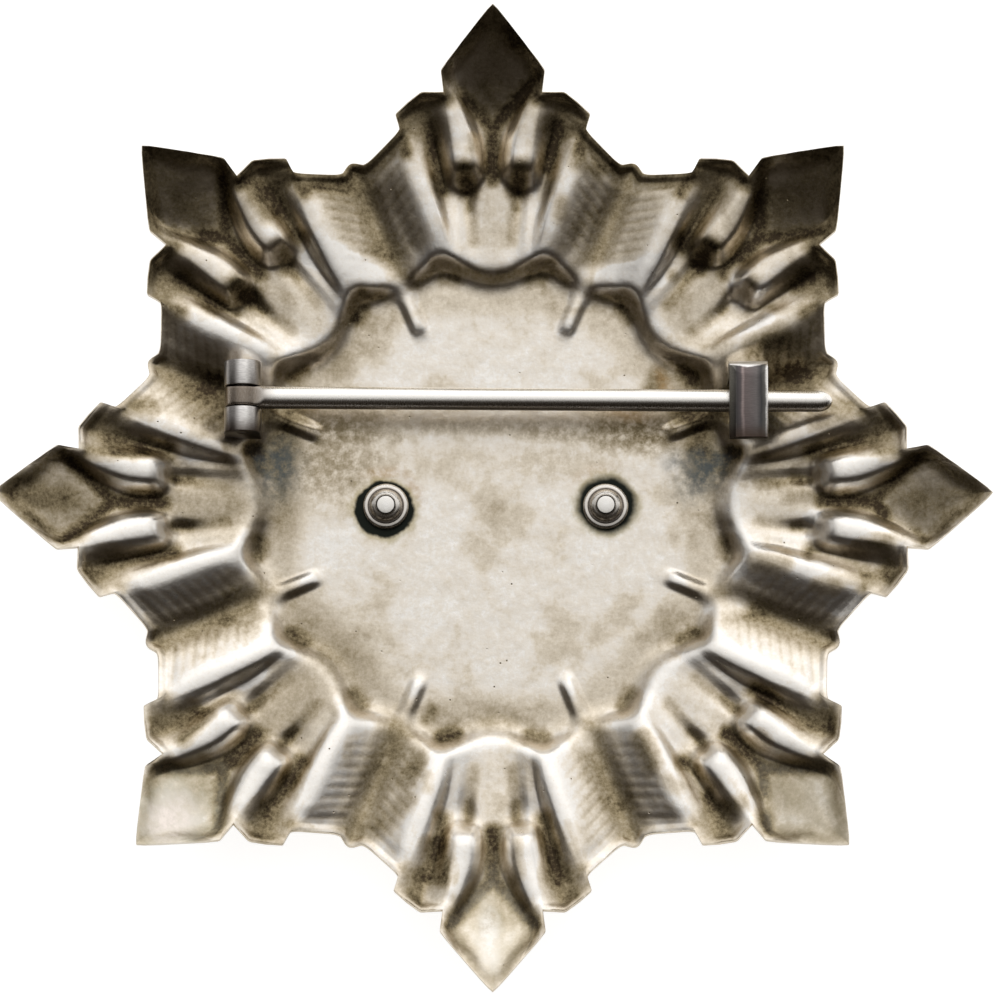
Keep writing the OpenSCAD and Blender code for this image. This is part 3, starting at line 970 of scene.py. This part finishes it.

# The silver from worn clean to black, which gives both patina and painted shade and light, and the share of
# that scale which is cleaner than plain silver
WORN_SHARE = 0.06
SILVER_TO_BLACK = (
    (0, (0.88, 0.845, 0.79)), (WORN_SHARE, (0.825, 0.768, 0.685)), (0.15, (0.78, 0.71, 0.61)),
    (0.245, (0.7, 0.62, 0.5)), (0.45, (0.5, 0.425, 0.315)), (0.7, (0.28, 0.225, 0.135)),
    (0.87, (0.13, 0.1, 0.055)), (1, (0.045, 0.032, 0.019)),
)
OLIVE = (0.38, 0.31, 0.13, 1)
RUST = (0.42, 0.25, 0.1, 1)
SOOT = (0.013, 0.015, 0.012, 1)
STEEL_BLUE = (0.075, 0.09, 0.095, 1)
SMOKE = (0.06, 0.052, 0.05, 1)
FOOT_SHADE_BROWN = (0.075, 0.05, 0.035, 1)
HIGHLIGHT_WHITE = (0.88, 0.86, 0.83, 1)
WIRE_SILVER = (0.88, 0.85, 0.8, 1)
WIRE_SHADE_BROWN = (0.17, 0.13, 0.095, 1)
FRONT_SILVER = (0.62, 0.57, 0.49, 1)
SAND = (0.46, 0.41, 0.28, 1)
GREEN_GREY = (0.5, 0.53, 0.5, 1)
PALE_PINK_HIGHLIGHT = (0.9, 0.8, 0.73, 1)
STRAW = (0.52, 0.46, 0.33, 1)
CREAM_HIGHLIGHT = (0.9, 0.87, 0.82, 1)
KHAKI = (0.44, 0.39, 0.28, 1)

# How unevenly the star is tarnished, by both its noises less their mean and by the wider one alone. Its pits:
# how many to a millimetre, where each ends and its floor begins in sizes of its cell, and how dark it is.
UNEVENNESS = 0.75
NOISE_MEAN = 0.47
CLOUDS = 0.17
PIT_CELLS = 0.62
PIT_END = 0.05
PIT_FLOOR = 0.02
PIT_DARKNESS = 0.8

# How soft and how ragged the edges of stains, the pin's painted shadow and blotches are
PLATE_MARK_SOFT = 0.85
BLOTCH_SOFT = 0.9
BLOTCH_RAGGED = 1.3

# Brown stains on the plate, most of them along the pin, and below the pin its painted shadow. Columns:
# middle, half sizes, amount, raggedness.
PLATE_STAINS_AND_PIN_SHADOW = (
    ((-13.2, 6.2), (6, 2), 0.7, 1.3),
    ((-14, 3.6), (5.8, 3.6), 0.6, 1.4),
    ((-13.5, 9.8), (2.6, 1), 0.45, 1.2),
    ((12.2, 6.2), (5.6, 1.8), 0.8, 1.3),
    ((5.2, 6.1), (4, 0.9), 0.55, 1.2),
    # Painted shadow of the pin, a long thin band below it, with stain.
    ((0, 6.6), (17, 0.8), 0.45, 0.8),
    ((5.2, 3.6), (6, 2), 0.32, 1.2),
    ((14.6, 11), (1.4, 2.4), 0.6, 1),
    ((0, 17), (9, 1.6), 0.28, 1.2),
)

# Coloured blotches, two of them painted highlights on the lozenges of lower tips. Columns: middle, half
# sizes, turn, colour, amount.
BLOTCHES = (
    ((-26.3, -26.3), (4.2, 3.6), 45, SAND, 0.7),
    ((-26, -26.4), (2.4, 2.2), 45, GREEN_GREY, 0.5),
    # Painted highlight in the middle of this lozenge.
    ((-26.1, -26.5), (1.5, 1.9), -45, PALE_PINK_HIGHLIGHT, 0.9),
    ((0, -35.8), (2.6, 4.2), 0, STRAW, 0.6),
    # Painted highlight streak in the middle of this lozenge.
    ((-0.3, -36.4), (0.8, 2.4), 0, CREAM_HIGHLIGHT, 0.8),
    ((26, -26), (4.2, 3.4), -45, KHAKI, 0.6),
    ((17.4, 2.6), (2.3, 1.5), 35, STEEL_BLUE, 0.9),
    ((15.6, 3.9), (1.5, 0.8), 0, STEEL_BLUE, 0.6),
    ((-17.8, 3), (1.7, 2.4), -10, STEEL_BLUE, 0.9),
    ((14.1, 10.2), (0.5, 1.3), 20, RUST, 0.55),
    ((11.2, 7.6), (1.6, 0.5), -10, RUST, 0.4),
    ((-14, 8.9), (1.4, 0.5), 30, RUST, 0.4),
    ((-9, 2.7), (1.3, 0.45), 5, RUST, 0.5),
    ((-6.5, 1.3), (0.5, 1.1), 30, RUST, 0.5),
    ((8, 2.7), (1.6, 0.5), 20, RUST, 0.25),
)

# Black rings round the collars, each in a wider olive one. Columns: middle, softness.
SOOT_RINGS = (((POST_X[0] - 0.15, POST_Y - 0.17), 0.06), ((POST_X[1] + 0.08, POST_Y + 0.2), 0.16))
SOOT_RADII = (2.45, 2.36)
OLIVE_RADII = (2.75, 2.66)

# Painted reflections and shade in stripes across the catch hook and across the hinge block, from the left
# edge to the right edge
HOOK_REFLECTION_BANDS = (
    (0, (0.24, 0.225, 0.19)), (0.1, (0.2, 0.19, 0.165)), (0.2, (0.06, 0.056, 0.055)),
    (0.3, (0.1, 0.085, 0.085)), (0.36, (0.3, 0.24, 0.225)), (0.41, (0.15, 0.12, 0.115)),
    (0.7, (0.14, 0.125, 0.12)), (0.82, (0.05, 0.05, 0.05)), (0.92, (0.13, 0.125, 0.115)),
    (0.97, (0.88, 0.86, 0.82)),
)
HINGE_REFLECTION_BANDS = (
    (0, (0.8, 0.78, 0.74)), (0.05, (0.42, 0.39, 0.36)), (0.16, (0.2, 0.185, 0.175)),
    (0.3, (0.3, 0.28, 0.265)), (0.44, (0.72, 0.69, 0.66)), (0.62, (0.8, 0.77, 0.73)),
    (0.78, (0.52, 0.49, 0.46)), (0.93, (0.4, 0.37, 0.34)), (1, (0.66, 0.62, 0.57)),
)

# How much of the upper end of each gets a painted highlight
HOOK_HIGHLIGHT = 0.8
HINGE_HIGHLIGHT = 0.15

# Rings on the collars, from the middle of the post out to the flange; the dark rings are painted shade in the
# gap round the post and in the step under the boss
COLLAR_R = 1.9
COLLAR_RINGS = (
    (0, (0.8, 0.78, 0.74)), (0.36, (0.76, 0.73, 0.68)), (0.395, (0.14, 0.12, 0.1)),
    (0.43, (0.74, 0.7, 0.64)), (0.6, (0.8, 0.76, 0.7)), (0.69, (0.58, 0.53, 0.47)),
    (0.745, (0.16, 0.14, 0.12)), (0.79, (0.62, 0.57, 0.51)), (0.88, (0.8, 0.76, 0.7)),
    (1, (0.56, 0.51, 0.44)),
)

# The floor, just under the surface that the star lies on so that the two don't flicker
FLOOR_HALF = 1500
FLOOR_Z = -0.02
FLOOR_GREY = (0.5, 0.5, 0.5, 1)
FLOOR_GLOW = 0.85


def star_material():
    """Satin silver, tarnished in the hollows and round the fittings, with painted shade and light, the pin's
    painted shadow, blotches with two painted highlights, and pits.
    """
    s = Shader("star_silver")
    cloud = s.noise(0.22, 4, 0.6)
    mottle = s.noise(1.4, 5, 0.65, seed=3)
    grain = s.calc("SUBTRACT", s.noise(3.4, 5, 0.7, seed=5), 0.5)
    rough = s.calc("SUBTRACT", s.noise(0.85, 4, seed=7), 0.5)
    uneven = s.times(mottle, 0.5, s.times(cloud, 0.5))
    # Patina, stains, painted shade and painted light, drawn on the mesh.
    drawn = s.add("ShaderNodeAttribute", attribute_name="tarnish_and_shade").outputs["Fac"]
    dark = s.times(s.calc("SUBTRACT", uneven, NOISE_MEAN), UNEVENNESS, drawn)
    dark = s.times(s.ramp(cloud, 0.5, 0.66), CLOUDS, dark)
    dark = s.calc("MULTIPLY_ADD", dark, 1 - WORN_SHARE, WORN_SHARE, clamp=True)
    patchy = s.ramp(mottle, 0.3, 0.62, 0.35, 1)
    # Stains, and the pin's painted shadow below it.
    for centre, radii, amount, ragged in PLATE_STAINS_AND_PIN_SHADOW:
        stain_and_shadow = s.times(s.spot(centre, radii, 0, PLATE_MARK_SOFT, rough, ragged), patchy)
        dark = s.calc("MAXIMUM", dark, s.times(stain_and_shadow, amount))
    dark = s.calc("ADD", dark, s.times(grain, s.times(dark, 0.5, 0.3)))
    pits = s.cells(PIT_CELLS)
    dark = s.calc("MAXIMUM", dark, s.times(s.ramp(pits, PIT_END, PIT_FLOOR), PIT_DARKNESS))
    colour = s.shades(dark, SILVER_TO_BLACK)
    # Coloured blotches, two of them painted highlights on lozenges.
    for centre, radii, turn, shade, amount in BLOTCHES:
        blotch = s.times(s.spot(centre, radii, turn, BLOTCH_SOFT, rough, BLOTCH_RAGGED), patchy)
        colour = s.blend(s.times(blotch, amount), colour, shade)
    for middle, soft in SOOT_RINGS:
        rim = s.spot(middle, OLIVE_RADII, 0, 0.14, rough, 0.6)
        colour = s.blend(s.times(rim, 0.6), colour, OLIVE)
        colour = s.blend(s.spot(middle, SOOT_RADII, 0, soft, rough, 0.3), colour, SOOT)
    roughness = s.times(dark, 0.06, s.times(mottle, 0.1, 0.24))
    normal = s.bump(s.times(grain, 0.6, mottle), 0.02)
    normal = s.bump(s.noise(0.45, 2, seed=9), 0.06, normal)
    normal = s.bump(s.ramp(pits, 0.02, 0.06), 0.03, normal)
    return s.finish(colour, roughness, normal)


def front_material():
    """Dull silver of the front, finely brushed, with darker patches."""
    s = Shader("front_silver")
    brushed = s.noise(6, 3, at=s.stretched((6, 0.35, 1)))
    patch = s.noise(0.7, 4, seed=2)
    colour = s.blend(s.times(s.ramp(patch, 0.5, 0.8), 0.4), FRONT_SILVER, OLIVE)
    normal = s.bump(s.noise(3, 4, seed=4), 0.008, s.bump(brushed, 0.006))
    return s.finish(colour, s.times(brushed, 0.12, 0.28), normal)


def collar_material():
    """Turned silver of the collars and post ends, with painted shade in the steps and on the lower side."""
    s = Shader("collar_silver")
    x, y = s.plan(((POST_X[0] + POST_X[1]) / 2, POST_Y))
    off_post = s.calc("SUBTRACT", s.calc("ABSOLUTE", x), (POST_X[1] - POST_X[0]) / 2)
    far = s.calc("SQRT", s.times(off_post, off_post, s.times(y, y)))
    patch = s.calc("SUBTRACT", s.noise(1.3, 4, seed=2), 0.5)
    colour = s.shades(s.times(patch, 0.12, s.times(far, 1 / COLLAR_R)), COLLAR_RINGS)
    # Painted shade on the lower side, away from the light.
    low = s.ramp(s.times(patch, 2, s.times(y, -1)), 0.3, 1.5)
    colour = s.blend(s.times(low, 0.35), colour, SMOKE)
    normal = s.bump(s.noise(3, 4, seed=4), 0.01)
    return s.finish(colour, s.times(patch, 0.2, 0.26), normal)


def banded_material(name, middle, width, length, highlight_length, reflection_bands):
    """Silver of a brushed block, with painted reflections and shade in long stripes across it, a painted
    highlight at its upper end and painted brown shade at its foot.
    """
    s = Shader(name)
    x, y = s.plan(middle)
    brushed = s.noise(6, 4, at=s.stretched((3, 0.3, 1)))
    wander = s.times(s.noise(0.8, 3, seed=6), 0.3, -0.15)
    across = s.times(s.calc("ADD", x, wander), 1 / width, 0.5)
    # Painted reflections and shade in stripes across the block.
    colour = s.shades(across, reflection_bands)
    colour = s.blend(s.times(s.ramp(brushed, 0.35, 0.65), 0.3), colour, SMOKE)
    # Painted shade, brown, on the lower end, away from the light.
    foot = s.times(s.ramp(s.calc("ADD", y, wander), 1.3 - length / 2, -length / 2), 0.75)
    colour = s.blend(foot, colour, FOOT_SHADE_BROWN)
    taper = s.times(s.calc("ABSOLUTE", x), -0.2)
    height = s.calc("ADD", s.times(wander, 1.5, y), taper)
    bright_from = length / 2 - highlight_length
    # A painted highlight on the upper end, where it bends toward the light.
    colour = s.blend(s.ramp(height, bright_from, bright_from + 0.15), colour, HIGHLIGHT_WHITE)
    normal = s.bump(brushed, 0.008)
    return s.finish(colour, s.times(brushed, 0.12, 0.24), normal)


def pin_material():
    """Drawn silver wire, streaked along, with painted shade at its eye in the block's slot and along its
    lower side.
    """
    s = Shader("pin_silver")
    x, y = s.plan((HINGE.x, HINGE.y))
    streaks = s.noise(5, 4, at=s.stretched((0.12, 2, 2)))
    # Painted shade along the lower side and on the eye inside the block's slot.
    below = s.times(s.calc("SUBTRACT", streaks, 0.5), 0.3, s.times(y, -1))
    dark = s.times(s.ramp(below, 0.2, 0.95), 0.7)
    eye = s.times(s.ramp(x, 3.2, 0.8), s.ramp(streaks, 0.2, 0.6, 0.75, 0.95))
    colour = s.blend(s.calc("MAXIMUM", dark, eye), WIRE_SILVER, WIRE_SHADE_BROWN)
    normal = s.bump(s.noise(3, 4, seed=4), 0.008, s.bump(streaks, 0.006))
    return s.finish(colour, s.times(streaks, 0.1, 0.22), normal)


def floor_material():
    """White card that glows a little, so that it stays white all over."""
    material = bpy.data.materials.new("white_floor")
    material.use_nodes = True
    surface = material.node_tree.nodes["Principled BSDF"]
    surface.inputs["Base Color"].default_value = FLOOR_GREY
    surface.inputs["Roughness"].default_value = 0.9
    surface.inputs["Emission Color"].default_value = (1, 1, 1, 1)
    surface.inputs["Emission Strength"].default_value = FLOOR_GLOW
    return material


def add_floor():
    sides = ((-1, -1), (1, -1), (1, 1), (-1, 1))
    points = [(FLOOR_HALF * x, FLOOR_HALF * y, FLOOR_Z) for x, y in sides]
    floor = mesh_from("floor", points, [[0, 1, 2, 3]])
    floor.data.materials.append(floor_material())


def add_lights():
    """One wide soft window of light over the star's far side, and the paler band round the horizon."""
    world = bpy.data.worlds.new("studio")
    world.use_nodes = True
    sky = Nodes(world.node_tree)
    calc = sky.calc
    parts = sky.add("ShaderNodeSeparateXYZ")
    sky.feed(parts.inputs[0], sky.add("ShaderNodeTexCoord").outputs["Generated"])
    x, y, z = (parts.outputs[axis] for axis in "XYZ")

    off = calc("MAXIMUM", calc("SUBTRACT", SKY_LEAN, calc("ARCTAN2", y, z)), 0)
    short = calc("COSINE", calc("MINIMUM", off, math.pi / 2))
    aside = calc("SUBTRACT", x, SKY_ASIDE)
    narrow = calc("SQRT", calc("MAXIMUM", calc("SUBTRACT", 1, sky.times(aside, aside)), 0))

    low = calc("SMOOTH_MIN", sky.times(z, *HORIZON_BY_HEIGHT), 1, HORIZON_SOFT)
    near = calc("SMOOTH_MIN", sky.times(y, *HORIZON_BY_FRONT), 1, HORIZON_SOFT)
    share = sky.times(calc("MAXIMUM", low, 0), calc("MAXIMUM", near, 0))
    horizon = sky.times(sky.times(x, HORIZON_SLANT, HORIZON_MIDDLE), share)

    cosine = calc("MAXIMUM", sky.times(short, narrow), horizon)
    background = sky.tree.nodes["Background"]
    sky.feed(background.inputs[0], sky.shades(cosine, SKY, "B_SPLINE"))
    sky.feed(background.inputs[1], SKY_RADIANCE)
    bpy.context.scene.world = world


def add_camera():
    """Looks down from a little toward -Y, with the star's middle where the photograph has it."""
    across = (PHOTO_MIDDLE[0] - STAR_MIDDLE[0]) * PIXEL
    down = (PHOTO_MIDDLE[1] - STAR_MIDDLE[1]) * PIXEL
    aim = Vector((across, -down, TIP_Z))
    back = Vector((0, -math.sin(CAMERA_TILT), math.cos(CAMERA_TILT)))
    data = bpy.data.cameras.new("camera")
    data.sensor_width = SENSOR
    data.lens = SENSOR * CAMERA_DISTANCE / (PHOTO_H * PIXEL)
    data.clip_start, data.clip_end = 0.01, 10
    camera = bpy.data.objects.new("camera", data)
    camera.location = (aim + back * CAMERA_DISTANCE) * MM
    camera.rotation_euler = (CAMERA_TILT, 0, 0)
    bpy.context.scene.collection.objects.link(camera)
    bpy.context.scene.camera = camera


def dress(piece, material, body, slot, *nodes):
    """Gives a piece its material and body, and hides the imported nodes that it stands for. Its slot is not
    used.
    """
    piece.data.materials.clear()
    piece.data.materials.append(material)
    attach(piece, body)
    if nodes:
        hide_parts(*nodes)


add_camera()
add_lights()
add_floor()
bpy.context.scene.view_settings.view_transform = "Standard"

block_middle, hook_middle = (HINGE.x, HINGE.y), (HOOK_X, HOOK_Y)
block_silver = banded_material("block_silver", block_middle, BLOCK_W, BLOCK_L, HINGE_HIGHLIGHT, HINGE_REFLECTION_BANDS)
hook_silver = banded_material("hook_silver", hook_middle, HOOK_W, HOOK_L, HOOK_HIGHLIGHT, HOOK_REFLECTION_BANDS)
collar_silver = collar_material()
front_silver = front_material()

dress(make_star(), star_material(), STAR_BODY, "satin_silver", "star")
dress(make_hinge_block(), block_silver, STAR_BODY, "satin_silver")
dress(make_catch_hook(), hook_silver, STAR_BODY, "satin_silver")
dress(make_axle(), block_silver, STAR_BODY, "bright_silver", "hinge_axle")
dress(make_pin(), pin_material(), PIN_BODY, "bright_silver", "brooch_pin")
medallion, posts = make_medallion()
dress(medallion, front_silver, STAR_BODY, "satin_silver", "front_medallion")
for post in posts:
    dress(post, collar_silver, STAR_BODY, "satin_silver")
dress(make_collar("collar_cap_left", POST_X[0]), collar_silver, STAR_BODY, "collar_silver", "collar_left")
dress(make_collar("collar_cap_right", POST_X[1]), collar_silver, STAR_BODY, "collar_silver", "collar_right")
